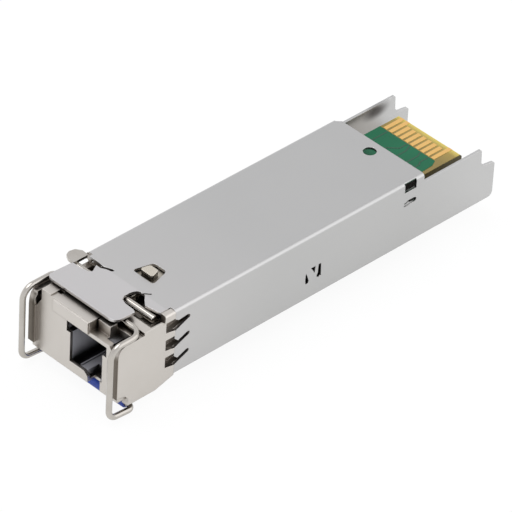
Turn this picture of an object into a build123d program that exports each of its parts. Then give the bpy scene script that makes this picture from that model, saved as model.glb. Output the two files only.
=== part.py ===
from build123d import *
import os
from math import acos, atan2, cos, degrees, hypot, radians, sin, tan

os.makedirs("parts", exist_ok=True)

# Frame, in millimetres. The module lies belly up: X is across it, Y runs from the nose to the
# card edge, and Z is up, from the casting's outer flat face (Z = 0) to the belly of the cover.

# Cover
COVER_WIDTH = 13.4
COVER_HEIGHT = 8.14
SHEET = 0.3
BEND_R = 0.42
SEAM_Y = -2.43
BELLY_END_Y = 33.9
REAR_Y = 45.0
SKIRT_STEP_Y = 42.75
SKIRT_TOP_Z = 7.1
SKIRT_LOW_Z = 4.5
SKIRT_CORNER_R = 0.6
SIGHT_R = 0.75

# Tongue of the cover, over the nose
TONGUE_Y = -8.7
TONGUE_NEAR_X = 4.2
TONGUE_FAR_X = -6.15
TONGUE_BEND_Y = -3.2
TONGUE_TILT = 3.0

# Nose and tray, one casting
NOSE_HALF = 6.75
NOSE_Y = -10.1
PLATE_Y = -10.5
PLATE_IN = 5.9
PLATE_TOP_Z = 7.15
PLATE_LOW_Z = -0.88
NOSE_LOW_Z = -0.1
LEDGE_Z = 7.05
LAND_Z = 7.1
STEP_Z = 7.45
STEP_Y = (-6.65, -5.85)
LIP_Z = 7.75
SILL_Z = 6.5
LIP_X = (-3.4, 2.0)
BULKHEAD_Y = 0.8
TRAY_Y = 44.6
FLOOR = 0.7
RAIL_IN = 4.1
RAIL_Y = (14.5, 33.4)
POCKET_Z = 6.5

# Fibre port, off the centre line
PORT_X = (-0.7, 4.95)
PORT_Z = (1.15, 6.2)
PORT_WALL = 0.35
PORT_LAP = 0.05
PORT_ROOF = 0.15
PORT_FRAME = 0.8
PORT_BACK_Y = -0.2
FERRULE_R = 0.625
SLEEVE_R = 0.83
BARREL_R = 1.45
YOKE_R = 2.0

# Bail
WIRE_R = 0.4
BAIL_X = 6.68
BAIL_LEG_Y = -11.33
BAIL_PIVOT = (-7.1, 7.6)
BAIL_LOW_Z = -1.6
BAIL_BAR = (-8.25, -1.4)
BAIL_END_X = 3.4
BAIL_SLEEVE_R = 0.62
BAIL_SLEEVE_HALF = 5.4

# Latch
PIN_R = 0.34
PIN_Z = 7.45
PIN_NEAR = (6.0, -4.45)
PIN_FAR = (-6.9, -3.41)
LEVER_GAP = 0.05
BOSS_TOP_Z = COVER_HEIGHT + 0.42
BOSS_FRONT_Y = -0.72
BOSS_REAR_Y = 0.5
BOSS_X = 0.3
SPRING_X = 0.25
SPRING_Y = 1.7
SHELF_Z = 5.85
ARM_LOW_Z = 7.2

# Board
BOARD_HALF = 4.65
BOARD_Z = 5.85
BOARD_T = 1.0
BOARD_Y = (14.2, 41.9)
MASK = 0.03
CONTACT = 0.04
CONTACT_W = 0.6
CONTACT_PITCH = 0.8
CONTACT_SHIFT = -0.4
CONTACT_Y = (38.8, 41.25)
MASK_END_Y = 38.7

# Values that follow
HALF = COVER_WIDTH / 2
INNER = HALF - SHEET
BELLY_UNDER = COVER_HEIGHT - SHEET
INSERT_X = (PORT_X[0] + PORT_LAP - PORT_WALL, PORT_X[1] - PORT_LAP + PORT_WALL)
INSERT_Z = (PORT_Z[0] + PORT_LAP - PORT_WALL, PORT_Z[1] + PORT_ROOF)
INSERT_Y = NOSE_Y + PORT_FRAME
PORT_CX = (PORT_X[0] + PORT_X[1]) / 2
PORT_CZ = (PORT_Z[0] + PORT_Z[1]) / 2
BOARD_LOW = BOARD_Z - BOARD_T
PIN_ANGLE = degrees(atan2(PIN_NEAR[1] - PIN_FAR[1], PIN_NEAR[0] - PIN_FAR[0]))
PIN_Y0 = PIN_FAR[1] + (PIN_NEAR[1] - PIN_FAR[1]) * (0 - PIN_FAR[0]) / (PIN_NEAR[0] - PIN_FAR[0])


def block(x0, x1, y0, y1, z0, z1):
    """A box from its two corners."""
    size = Box(x1 - x0, y1 - y0, z1 - z0)
    return Pos((x0 + x1) / 2, (y0 + y1) / 2, (z0 + z1) / 2) * size


def mirrored(shape):
    """A shape and its mirror image across the centre line."""
    return shape + mirror(shape, about=Plane.YZ)


def side_prism(points, x0, x1):
    """A prism along X from an outline of (y, z) points."""
    face = make_face(Polyline(*[(x0, y, z) for y, z in points], close=True))
    return extrude(face, amount=x1 - x0, dir=(1, 0, 0))


def front_prism(points, y0, y1):
    """A prism along Y from an outline of (x, z) points."""
    face = make_face(Polyline(*[(x, y0, z) for x, z in points], close=True))
    return extrude(face, amount=y1 - y0, dir=(0, 1, 0))


def plan_prism(points, z0, z1):
    """A prism along Z from an outline of (x, y) points."""
    face = make_face(Polyline(*[(x, y, z0) for x, y in points], close=True))
    return extrude(face, amount=z1 - z0, dir=(0, 0, 1))


def rod_y(radius, x, z, y0, y1):
    """A round rod along Y."""
    return Pos(x, (y0 + y1) / 2, z) * Rot(90, 0, 0) * Cylinder(radius, y1 - y0)


def rod_x(radius, y, z, x0, x1):
    """A round rod along X."""
    return Pos((x0 + x1) / 2, y, z) * Rot(0, 90, 0) * Cylinder(radius, x1 - x0)


def rod_z(radius, x, y, z0, z1):
    """A round rod along Z."""
    return Pos(x, y, (z0 + z1) / 2) * Cylinder(radius, z1 - z0)


def rounded_path(points, radii):
    """A wire through the points, with an arc of the given radius at each inner point."""
    edges = []
    start = Vector(*points[0])
    for here, after, radius in zip(points[1:-1], points[2:], radii):
        corner = Vector(*here)
        u = (start - corner).normalized()
        w = (Vector(*after) - corner).normalized()
        half_angle = acos(u.dot(w)) / 2
        into = corner + u * (radius / tan(half_angle))
        out = corner + w * (radius / tan(half_angle))
        centre = corner + (u + w).normalized() * (radius / sin(half_angle))
        middle = centre + (corner - centre).normalized() * radius
        edges.append(Edge.make_line(start, into))
        edges.append(Edge.make_three_point_arc(into, middle, out))
        start = out
    edges.append(Edge.make_line(start, Vector(*points[-1])))
    return Wire(edges)


def long_edges(shape, z_low, z_high):
    """The edges of a shape that run along Y between two heights."""
    picked = shape.edges().filter_by(Axis.Y)
    return [edge for edge in picked if z_low <= edge.center().Z <= z_high]


def build_cover():
    """Folded sheet: belly, two skirts and a tongue over the nose."""
    outer = block(-HALF, HALF, SEAM_Y, REAR_Y, 0, COVER_HEIGHT)
    outer = fillet(long_edges(outer, COVER_HEIGHT - 0.01, COVER_HEIGHT + 0.01), BEND_R)
    inner = block(-INNER, INNER, SEAM_Y - 1, REAR_Y + 1, -1, BELLY_UNDER)
    inner = fillet(long_edges(inner, BELLY_UNDER - 0.01, BELLY_UNDER + 0.01), BEND_R - SHEET)
    cover = outer - inner

    # The belly stops short of the rear, and the skirts go on at two heights.
    cover -= block(-INNER + 0.02, INNER - 0.02, BELLY_END_Y, REAR_Y + 1, 1, COVER_HEIGHT + 1)
    above = side_prism(
        [
            (BELLY_END_Y, COVER_HEIGHT + 1),
            (BELLY_END_Y, SKIRT_TOP_Z + 0.35),
            (BELLY_END_Y + 0.35, SKIRT_TOP_Z),
            (SKIRT_STEP_Y - 0.15, SKIRT_TOP_Z),
            (SKIRT_STEP_Y, SKIRT_TOP_Z - 0.15),
            (SKIRT_STEP_Y + 0.1, 5.3),
            (SKIRT_STEP_Y + 0.35, 4.85),
            (SKIRT_STEP_Y + 0.75, 4.7),
            (REAR_Y - 0.75, SKIRT_LOW_Z + 0.1),
            (REAR_Y - 0.2, SKIRT_LOW_Z),
            (REAR_Y, SKIRT_LOW_Z - 0.2),
            (REAR_Y + 1, SKIRT_LOW_Z - 0.2),
            (REAR_Y + 1, COVER_HEIGHT + 1),
        ],
        -HALF - 1,
        HALF + 1,
    )
    cover -= above
    low_corner = side_prism(
        [(REAR_Y - SKIRT_CORNER_R, -1), (REAR_Y + 1, -1), (REAR_Y + 1, SKIRT_CORNER_R)]
        + [
            (
                REAR_Y - SKIRT_CORNER_R + SKIRT_CORNER_R * cos(radians(-a)),
                SKIRT_CORNER_R + SKIRT_CORNER_R * sin(radians(-a)),
            )
            for a in range(0, 91, 15)
        ],
        -HALF - 1,
        HALF + 1,
    )
    cover -= low_corner
    cover -= plan_prism(
        [(-HALF - 1, BELLY_END_Y), (-HALF - 1, BELLY_END_Y + 1), (-HALF + 0.9, BELLY_END_Y + 1),
         (-HALF + 0.9, BELLY_END_Y), (-HALF + 0.45, BELLY_END_Y - 0.5), (-HALF - 1, BELLY_END_Y - 0.5)],
        BELLY_UNDER - 0.2,
        COVER_HEIGHT + 1,
    )

    # Slots from the seam, on both skirts
    for rise, high in ((0, 0), (-2.27, 0), (2.2, 0.15)):
        slot = [
            (SEAM_Y - 0.1, 3.25 + rise),
            (-1.75, 3.6 + rise),
            (-0.6, 4.08 + rise),
            (-0.4, 4.15 + rise),
            (-0.3, 4.33 + rise),
            (-0.36, 4.5 + rise),
            (-0.52, 4.6 + rise),
            (-0.7, 4.58 + rise + high * 0.5),
            (-1.95, 4.08 + rise + high * 3),
            (SEAM_Y - 0.1, 4.6 + rise + high * 2),
        ]
        cover -= side_prism(slot, -HALF - 1, HALF + 1)

    # Snap windows with their tabs, square holes beside the bend, and lanced half slots
    window = [
        [(16.5, 2.2), (16.9, 2.2), (17.2, 3.9), (16.7, 3.9)],
        [(17.35, 3.9), (18.36, 3.9), (18.36, 2.75)],
        [(18.35, 2.2), (18.9, 2.2), (18.9, 3.9), (18.35, 3.9)],
        [(31.0, 6.9), (32.75, 6.9), (32.75, 8.05), (31.0, 8.05)],
        [(31.0, 5.12), (31.5, 5.2), (32.4, 5.3), (32.72, 5.45), (32.78, 5.62), (32.6, 5.75),
         (32.2, 5.68), (31.5, 5.42)],
    ]
    for outline in window:
        cover -= side_prism(outline, -HALF - 1, -INNER + 0.05)
        cover -= side_prism(outline, INNER - 0.05, HALF + 1)

    # Sight hole and the latch boss's opening
    cover -= rod_z(SIGHT_R, 0, 32.3, BELLY_UNDER - 1, COVER_HEIGHT + 1)
    cover -= boss_outline(BOSS_X, -1.12, 1.38, 1.3, 0.72, 0.4, BELLY_UNDER - 1, COVER_HEIGHT + 1)

    # Tongue, creased up a little so that it clears the bail's ends
    length = TONGUE_BEND_Y - TONGUE_Y
    flat = block(TONGUE_FAR_X, PLATE_IN, TONGUE_BEND_Y - 0.02, SEAM_Y, BELLY_UNDER, COVER_HEIGHT)
    flat -= block(-HALF, -PLATE_IN, -4.0, SEAM_Y, 0, 9)
    tip = block(TONGUE_FAR_X, TONGUE_NEAR_X, -length, 0, 0, SHEET)
    corner_edges = tip.edges().filter_by(Axis.Z).group_by(Axis.Y)[0]
    tip = fillet(corner_edges.sort_by(Axis.X)[-1], 0.9)
    tip = fillet(tip.edges().filter_by(Axis.Z).group_by(Axis.Y)[0].sort_by(Axis.X)[0], 0.7)
    tip = Pos(0, TONGUE_BEND_Y, BELLY_UNDER) * Rot(-TONGUE_TILT, 0, 0) * tip
    tongue = flat + tip
    near_notch = plan_prism(
        [(8, -5.85), (4.2, -5.85), (3.75, -5.45), (2.5, -5.4), (1.7, -5.25), (1.45, -4.7), (1.45, -3.6),
         (1.7, -3.1), (2.4, -2.8), (8, -2.8)],
        BELLY_UNDER - 1,
        COVER_HEIGHT + 1,
    )
    far_notch = plan_prism(
        [(-8, -4.75), (-5.4, -4.75), (-3.95, -4.6), (-3.75, -4.3), (-3.75, -3.3), (-2.6, -2.95),
         (-2.35, -2.8), (-2.4, -2.6), (-2.7, -2.6), (-3.6, -3.0), (-4.4, -2.9), (-8, -2.9)],
        BELLY_UNDER - 1,
        COVER_HEIGHT + 1,
    )
    return cover + tongue - near_notch - far_notch


def boss_outline(x, front, rear, half_front, half_rear, radius, z0, z1):
    """The latch boss's shape, wide at its shoulder and narrow behind."""
    shape = plan_prism(
        [(x - half_front, front), (x + half_front, front), (x + half_rear, rear), (x - half_rear, rear)],
        z0,
        z1,
    )
    return fillet(shape.edges().filter_by(Axis.Z), radius)


def build_casting():
    """Nose, port frame, side plates and the tray under the board, one casting."""
    nose = block(-NOSE_HALF + 0.3, NOSE_HALF - 0.3, NOSE_Y, SEAM_Y, NOSE_LOW_Z, LAND_Z)
    plate = side_prism(
        [
            (PLATE_Y, PLATE_LOW_Z),
            (-5.0, PLATE_LOW_Z),
            (SEAM_Y, -0.15),
            (SEAM_Y, COVER_HEIGHT - 0.06),
            (-3.8, COVER_HEIGHT - 0.06),
            (-3.95, PLATE_TOP_Z + 0.1),
            (-4.2, PLATE_TOP_Z),
            (-9.5, PLATE_TOP_Z),
            (-9.95, PLATE_TOP_Z - 0.15),
            (-10.25, PLATE_TOP_Z - 0.5),
            (-10.42, PLATE_TOP_Z - 1.1),
            (PLATE_Y, 5.3),
        ],
        PLATE_IN,
        NOSE_HALF,
    )
    plate -= rod_x(1.05, -9.85, -0.4, PLATE_IN - 1, NOSE_HALF + 1)
    plate -= block(PLATE_IN - 1, NOSE_HALF + 1, -12, -9.85, -2, 0.65)
    outer = [e for e in plate.edges().filter_by(Axis.Y) if e.center().X > NOSE_HALF - 0.01]
    outer = [e for e in outer if e.center().Z > COVER_HEIGHT - 0.2]
    plate = fillet(outer, 0.35)
    casting = nose + mirrored(plate)

    # Ledges, lip and corner pockets on the nose's belly side
    casting -= block(-PLATE_IN, PLATE_IN, NOSE_Y - 1, STEP_Y[0], LEDGE_Z, 9)
    casting += mirrored(block(2.3, PLATE_IN, STEP_Y[0], STEP_Y[1], LAND_Z - 0.5, STEP_Z))
    casting -= block(LIP_X[1], PLATE_IN, NOSE_Y - 1, -8.9, SILL_Z, 9)
    casting -= block(-PLATE_IN, -5.25, NOSE_Y - 1, -8.9, SILL_Z, 9)
    for side, inner in ((1, 4.0), (-1, 5.25)):
        casting -= front_prism(
            [(side * 5.95, 5.4), (side * inner, SILL_Z + 0.02), (side * 5.95, SILL_Z + 0.02)],
            NOSE_Y - 1,
            -9.3,
        )
        pocket = [side * inner, side * PLATE_IN]
        casting -= block(min(pocket), max(pocket), -9.5, -7.9, 5.6, 9)
    casting += block(LIP_X[0] - 0.5, LIP_X[1], NOSE_Y, -8.4, LEDGE_Z - 0.5, LIP_Z)
    casting += block(-5.25, LIP_X[0] - 0.5, NOSE_Y, -8.4, LEDGE_Z - 0.5, LIP_Z + 0.15)
    casting -= block(LIP_X[0] - 0.5, LIP_X[0], -9.1, -8.6, LIP_Z - 0.5, 9)
    casting += block(2.45, 3.95, -8.9, -8.0, LEDGE_Z - 0.5, LIP_Z)
    casting -= block(LIP_X[1], 2.45, NOSE_Y - 1, -8.0, SILL_Z - 0.05, 9)
    groove = rod_x(WIRE_R + 0.05, BAIL_PIVOT[0], BAIL_PIVOT[1], BAIL_END_X - 0.1, HALF + 2)
    casting -= mirrored(groove)

    # Bulkhead inside the cover, with the side channels behind the cover's slots
    casting += block(-INNER, INNER, SEAM_Y, BULKHEAD_Y, 0, BELLY_UNDER - BEND_R + SHEET)
    casting += block(-INNER + 0.3, INNER - 0.3, SEAM_Y, BULKHEAD_Y, 7, BELLY_UNDER)
    for low, high in ((1.1, 2.7), (3.35, 4.95), (5.65, 7.2)):
        channel = side_prism(
            [(-3.75, low + 0.25), (SEAM_Y, low), (0.1, low + 0.6), (0.1, high), (-3.75, high)],
            5.75,
            NOSE_HALF + 1,
        )
        casting -= mirrored(channel)

    # Pocket for the lever, the pin's cradle and the dark well beside the lever
    casting -= block(-2.3, 2.3, -7.6, SEAM_Y + 0.01, POCKET_Z, 9)
    casting -= block(-2.3, 2.3, SEAM_Y, BULKHEAD_Y + 1, POCKET_Z, 9)
    casting -= block(2.2, 4.1, -5.9, -2.7, POCKET_Z, 9)
    casting += block(-3.8, -2.9, -5.0, -2.9, LAND_Z - 0.3, PIN_Z + 0.1)
    casting -= pin_rod(PIN_R + 0.02, -9, 9)
    casting -= block(-8, -5.6, -4.6, -2.9, PIN_Z - 0.3, 9)

    # Fibre port, the room behind its frame, and the notch for the plug's latch
    casting -= block(PORT_X[0], PORT_X[1], NOSE_Y - 1, -5, PORT_Z[0], PORT_Z[1])
    casting -= block(INSERT_X[0], INSERT_X[1], INSERT_Y, PORT_BACK_Y, INSERT_Z[0], INSERT_Z[1])
    casting -= front_prism(
        [(1.3, PORT_Z[0] + 0.05), (1.9, 0.65), (1.9, -1), (3.5, -1), (3.5, PORT_Z[0] + 0.05)],
        NOSE_Y - 1,
        -7.4,
    )
    casting -= rod_y(BARREL_R, PORT_CX, PORT_CZ, PORT_BACK_Y - 1, BULKHEAD_Y + 1)

    # Tray floor, rails with the board's two pegs, and the spring's shelf
    casting += block(-INNER, INNER, BULKHEAD_Y, TRAY_Y, 0, FLOOR)
    rail_top = BOARD_LOW - MASK
    for x0, x1 in ((RAIL_IN, INNER), (-INNER, -RAIL_IN)):
        casting += block(x0, x1, RAIL_Y[0], RAIL_Y[1], FLOOR, rail_top)
    casting -= mirrored(block(5.0, INNER + 1, 15.8, 19.6, 1.5, rail_top - 0.2))
    for x, y in PEGS:
        casting += rod_z(0.45, x, y, rail_top - 1, BOARD_Z - 0.2)
    casting += block(SPRING_X - 0.9, SPRING_X + 0.9, BULKHEAD_Y, SPRING_Y + 0.9, SHELF_Z - 0.25, SHELF_Z)
    return casting


def pin_rod(radius, from_near, to_far):
    """A rod on the lever pin's axis, which crosses the nose slightly askew."""
    rod = Rot(0, 90, 0) * Cylinder(radius, to_far - from_near)
    rod = Pos((from_near + to_far) / 2, 0, 0) * rod
    return Pos(0, PIN_Y0, PIN_Z) * Rot(0, 0, PIN_ANGLE) * rod


def build_pin():
    """Wire pin with one end beaten flat."""
    near = hypot(PIN_NEAR[0], PIN_NEAR[1] - PIN_Y0)
    far = -hypot(PIN_FAR[0], PIN_FAR[1] - PIN_Y0)
    rod = pin_rod(PIN_R, far, near)
    rod = chamfer(rod.edges().sort_by(Axis.X)[-1], 0.12)
    tab = block(far - 1.0, far + 0.5, -0.62, 0.62, -0.16, 0.16)
    tab = fillet(tab.edges().filter_by(Axis.Z), 0.45)
    return rod + Pos(0, PIN_Y0, PIN_Z) * Rot(0, 0, PIN_ANGLE) * tab


def build_lever():
    """Rocker on the pin: front arm, cradle round the pin, rear arm and the boss."""
    lever = side_prism(
        [
            (-7.2, 6.8),
            (-4.9, 6.75),
            (-3.1, 6.75),
            (-2.7, ARM_LOW_Z),
            (2.5, ARM_LOW_Z),
            (2.5, 7.72),
            (-3.0, 7.75),
            (-4.7, 7.75),
            (-5.1, 7.45),
            (-7.2, 7.4),
        ],
        -1.15,
        1.6,
    )
    lever -= block(-2, -0.9, -9, -5.2, 6, 9)
    lever += boss_outline(BOSS_X + 0.05, BOSS_FRONT_Y, BOSS_REAR_Y, 0.95, 0.6, 0.25, 7.6, BOSS_TOP_Z)
    return lever - pin_rod(PIN_R + LEVER_GAP, -9, 9)


def build_spring():
    """Small coil that lifts the boss."""
    height = ARM_LOW_Z - SHELF_Z
    wire = 0.08
    path = Helix(pitch=(height - 2 * wire) / 3, height=height - 2 * wire, radius=0.5)
    section = Plane(origin=path @ 0, z_dir=path % 0) * Circle(wire)
    return Pos(SPRING_X, SPRING_Y, SHELF_Z + wire) * sweep(section, path=path)


def build_bail():
    """Round wire bent into a closed handle with two inward ends."""
    py, pz = BAIL_PIVOT
    by, bz = BAIL_BAR
    half = [
        (BAIL_END_X, py, pz),
        (BAIL_X, py, pz),
        (BAIL_X, BAIL_LEG_Y, pz),
        (BAIL_X, BAIL_LEG_Y, BAIL_LOW_Z),
        (BAIL_X, by, bz),
    ]
    other = [(-x, y, z) for x, y, z in reversed(half)]
    radii = [0.55, 1.4, 1.1, 0.8]
    path = rounded_path(half + other, radii + radii[::-1])
    section = Plane(origin=path @ 0, z_dir=path % 0) * Circle(WIRE_R)
    return sweep(section, path=path)


def build_bail_sleeve():
    """Moulding on the bail's crossbar."""
    by, bz = BAIL_BAR
    sleeve = rod_x(BAIL_SLEEVE_R, by, bz, -BAIL_SLEEVE_HALF, BAIL_SLEEVE_HALF)
    sleeve = fillet(sleeve.edges().filter_by(GeomType.CIRCLE), 0.2)
    return sleeve - rod_x(WIRE_R, by, bz, -HALF, HALF)


def build_port_insert():
    """Black moulding that guides the plug, with the tube for the ferrule."""
    insert = block(*INSERT_X, INSERT_Y, PORT_BACK_Y, *INSERT_Z)
    x0, x1 = PORT_X[0] + PORT_LAP, PORT_X[1] - PORT_LAP
    z0, z1 = PORT_Z[0] + PORT_LAP, PORT_Z[1] - PORT_LAP
    insert -= block(x0, x1, INSERT_Y - 1, PORT_BACK_Y - 0.8, z0, z1)
    insert -= block(1.6, 3.5, INSERT_Y - 1, -7.4, 0, z0 + 0.1)
    insert += block(1.0, 1.2, -9.0, PORT_BACK_Y - 0.5, z0 - 0.1, z0 + 0.45)
    insert += block(x1 - 0.9, x1 + 0.1, -7.6, PORT_BACK_Y - 0.5, z0 - 0.1, z0 + 0.5)
    insert += rod_y(BARREL_R, PORT_CX, PORT_CZ, -5.2, PORT_BACK_Y - 0.5)
    insert -= rod_y(SLEEVE_R + 0.12, PORT_CX, PORT_CZ, -4.9, PORT_BACK_Y + 1)
    insert -= rod_y(FERRULE_R + 0.15, PORT_CX, PORT_CZ, -6, -4)
    return insert


def build_ferrule_sleeve():
    """Split ceramic sleeve."""
    sleeve = rod_y(SLEEVE_R, PORT_CX, PORT_CZ, -4.85, 1.6)
    sleeve -= rod_y(FERRULE_R, PORT_CX, PORT_CZ, -6, 3)
    return sleeve - block(PORT_CX - 0.05, PORT_CX + 0.05, -6, 3, PORT_CZ, PORT_CZ + 2)


def build_barrel():
    """Steel barrel that holds the split sleeve and the fibre stub."""
    barrel = rod_y(BARREL_R, PORT_CX, PORT_CZ, PORT_BACK_Y, 4.6)
    barrel -= rod_y(SLEEVE_R, PORT_CX, PORT_CZ, PORT_BACK_Y - 1, 1.6)
    return barrel - rod_y(FERRULE_R, PORT_CX, PORT_CZ, 0, 6)


def build_optics_body():
    """Square housing with the filter, between the barrel and the two cans."""
    body = block(PORT_CX - 2.3, PORT_CX + 2.3, 4.6, 10.2, PORT_CZ - 2.2, PORT_CZ + 2.2)
    body = chamfer(body.edges().filter_by(Axis.Y), 0.35)
    body -= rod_y(0.7, PORT_CX, PORT_CZ, 4, 11)
    return body - rod_x(0.7, 7.4, PORT_CZ, PORT_CX - 3, PORT_CX)


def build_laser_can():
    """Header and weld ring of the laser."""
    return rod_y(2.1, PORT_CX, PORT_CZ, 10.2, 11.0) + rod_y(1.75, PORT_CX, PORT_CZ, 11.0, 11.4)


def build_detector_can():
    """Header and cap of the receiver, on the side of the optics body."""
    face = PORT_CX - 2.3
    return rod_x(1.95, 7.4, PORT_CZ, face - 0.9, face) + rod_x(1.6, 7.4, PORT_CZ, face - 1.2, face - 0.9)


def lead_spots(radius, count):
    """Places of a can's leads around its axis."""
    return [
        (radius * cos(radians(360 * i / count + 45)), radius * sin(radians(360 * i / count + 45)))
        for i in range(count)
    ]


def build_laser_leads():
    """The laser's four leads."""
    rods = [rod_y(0.15, PORT_CX + a, PORT_CZ + b, 11.4, 13.0) for a, b in lead_spots(0.9, 4)]
    return Compound(children=rods)


def build_detector_leads():
    """The receiver's five leads."""
    x1 = PORT_CX - 2.3 - 1.2
    rods = [rod_x(0.15, 7.4 + a, PORT_CZ + b, x1 - 1.2, x1) for a, b in lead_spots(0.9, 5)]
    return Compound(children=rods)


def build_laser_flex():
    """Flexible strip from the laser's leads to the board's lower face."""
    low = BOARD_LOW - MASK
    flex = side_prism(
        [(12.3, 2.3), (12.42, 2.3), (12.42, 4.2), (12.8, low - 0.12), (17.0, low - 0.12), (17.0, low),
         (12.74, low), (12.3, 4.25)],
        PORT_CX - 1.9,
        PORT_CX + 1.9,
    )
    for a, b in lead_spots(0.9, 4):
        flex -= rod_y(0.15, PORT_CX + a, PORT_CZ + b, 12, 13)
    return flex


def build_detector_flex():
    """Flexible strip from the receiver's leads to the board's upper face."""
    x0 = PORT_CX - 2.3 - 1.2 - 0.8
    top = BOARD_Z + MASK
    flex = block(x0, x0 + 0.12, 5.6, 9.2, 2.2, top + 0.12)
    flex += block(x0 - 1.6, x0 + 0.12, 5.6, 17.0, top, top + 0.12)
    for a, b in lead_spots(0.9, 5):
        flex -= rod_x(0.15, 7.4 + a, PORT_CZ + b, x0 - 1, x0 + 1)
    return flex


def build_board():
    """Circuit board with its chamfered card edge."""
    board = block(-BOARD_HALF, BOARD_HALF, BOARD_Y[0], BOARD_Y[1], BOARD_LOW, BOARD_Z)
    end = [e for e in board.edges().filter_by(Axis.X) if e.center().Y > BOARD_Y[1] - 0.01]
    board = chamfer(end, 0.3, 0.3)
    for x, y in PEGS:
        board -= rod_z(0.5, x, y, 0, 9)
    return board


def build_mask():
    """Solder mask on both faces of the board."""
    outline = [
        (-BOARD_HALF, BOARD_Y[0]),
        (BOARD_HALF, BOARD_Y[0]),
        (BOARD_HALF, 35.6),
        (4.2, 36.1),
        (4.1, 37.9),
        (3.7, MASK_END_Y),
        (-BOARD_HALF, MASK_END_Y),
    ]
    top = plan_prism(outline, BOARD_Z, BOARD_Z + MASK)
    low = plan_prism(outline, BOARD_LOW - MASK, BOARD_LOW)
    for x, y in PEGS:
        top -= rod_z(0.6, x, y, 0, 9)
        low -= rod_z(0.6, x, y, 0, 9)
    return Compound(children=[top, low])


def build_contacts():
    """Gilt contacts on both faces, with the long ones at the ends."""
    pads = []
    for i in range(10):
        x = CONTACT_SHIFT + (i - 4.5) * CONTACT_PITCH
        end = CONTACT_Y[1] + (0.35 if i in (0, 1, 9) else -0.3)
        for z in (BOARD_Z, BOARD_LOW - CONTACT):
            pads.append(block(x - CONTACT_W / 2, x + CONTACT_W / 2, CONTACT_Y[0], end, z, z + CONTACT))
    return Compound(children=pads)


def chips(sizes, height, top=True):
    """Blocks that stand on one face of the board."""
    z = BOARD_Z + MASK if top else BOARD_LOW - MASK - height
    return [block(x - w / 2, x + w / 2, y - d / 2, y + d / 2, z, z + height) for x, y, w, d in sizes]


PEGS = [(4.38, 16.0), (-4.38, 31.5)]
CAPACITORS = [(-3.4, 19.4, 0.6, 1.1), (3.2, 18.4, 0.6, 1.1), (3.2, 20.4, 0.6, 1.1), (-3.6, 24.6, 0.6, 1.1),
              (3.6, 25.4, 0.6, 1.1), (-1.8, 30.2, 1.1, 0.6)]
RESISTORS = [(-1.0, 23.0, 0.5, 0.9), (0.2, 23.0, 0.5, 0.9), (1.4, 23.0, 0.5, 0.9), (3.7, 28.2, 0.5, 0.9),
             (-3.8, 27.8, 0.5, 0.9), (2.2, 34.6, 0.5, 0.9)]
INDUCTORS = [(-2.4, 21.0, 1.4, 1.4), (2.4, 31.0, 1.6, 1.4)]

cover = build_cover()
nodes = {
    "nose_casting": build_casting(),
    "cover": cover,
    "bail_wire": build_bail(),
    "bail_sleeve": build_bail_sleeve(),
    "latch_lever": build_lever(),
    "lever_pin": build_pin(),
    "latch_spring": build_spring(),
    "port_insert": build_port_insert(),
    "ferrule_sleeve": build_ferrule_sleeve(),
    "fibre_stub": rod_y(FERRULE_R, PORT_CX, PORT_CZ, -1.5, 4.4),
    "receptacle_barrel": build_barrel(),
    "receptacle_yoke": rod_y(YOKE_R, PORT_CX, PORT_CZ, BULKHEAD_Y, 1.6)
    - rod_y(BARREL_R, PORT_CX, PORT_CZ, 0, 3),
    "optics_body": build_optics_body(),
    "laser_can": build_laser_can(),
    "detector_can": build_detector_can(),
    "laser_leads": build_laser_leads(),
    "detector_leads": build_detector_leads(),
    "laser_flex": build_laser_flex(),
    "detector_flex": build_detector_flex(),
    "main_board": build_board(),
    "solder_mask": build_mask(),
    "edge_contacts": build_contacts(),
    "driver_chip": chips([(0.2, 19.0, 4.0, 4.0)], 0.8)[0],
    "controller_chip": chips([(0, 26.6, 5.0, 5.0)], 0.8)[0],
    "memory_chip": chips([(0.4, 21.5, 3.0, 4.4)], 1.2, top=False)[0],
    "capacitors": Compound(children=chips(CAPACITORS, 0.6)),
    "resistors": Compound(children=chips(RESISTORS, 0.3)),
    "inductors": Compound(children=chips(INDUCTORS, 1.2, top=False)),
    "thermal_pad": block(-1.6, 2.0, 17.2, 20.8, BOARD_Z + MASK + 0.8, BELLY_UNDER),
}

for name, shape in nodes.items():
    export_step(shape, f"parts/{name}.step")
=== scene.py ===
# %% [markdown]
# A small pluggable optical transceiver, belly up on a white table.
# The metal body, the bail and the board come in as a measured model. This lesson gives every
# surface its finish, makes the finer forms of the sheet, the nose, the pin, the bail, the port
# and the board, and sets up the light and the camera.

# %% Load the measured model
from math import radians, tan

import bmesh
import bpy
from mathutils import Matrix, Vector


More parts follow.
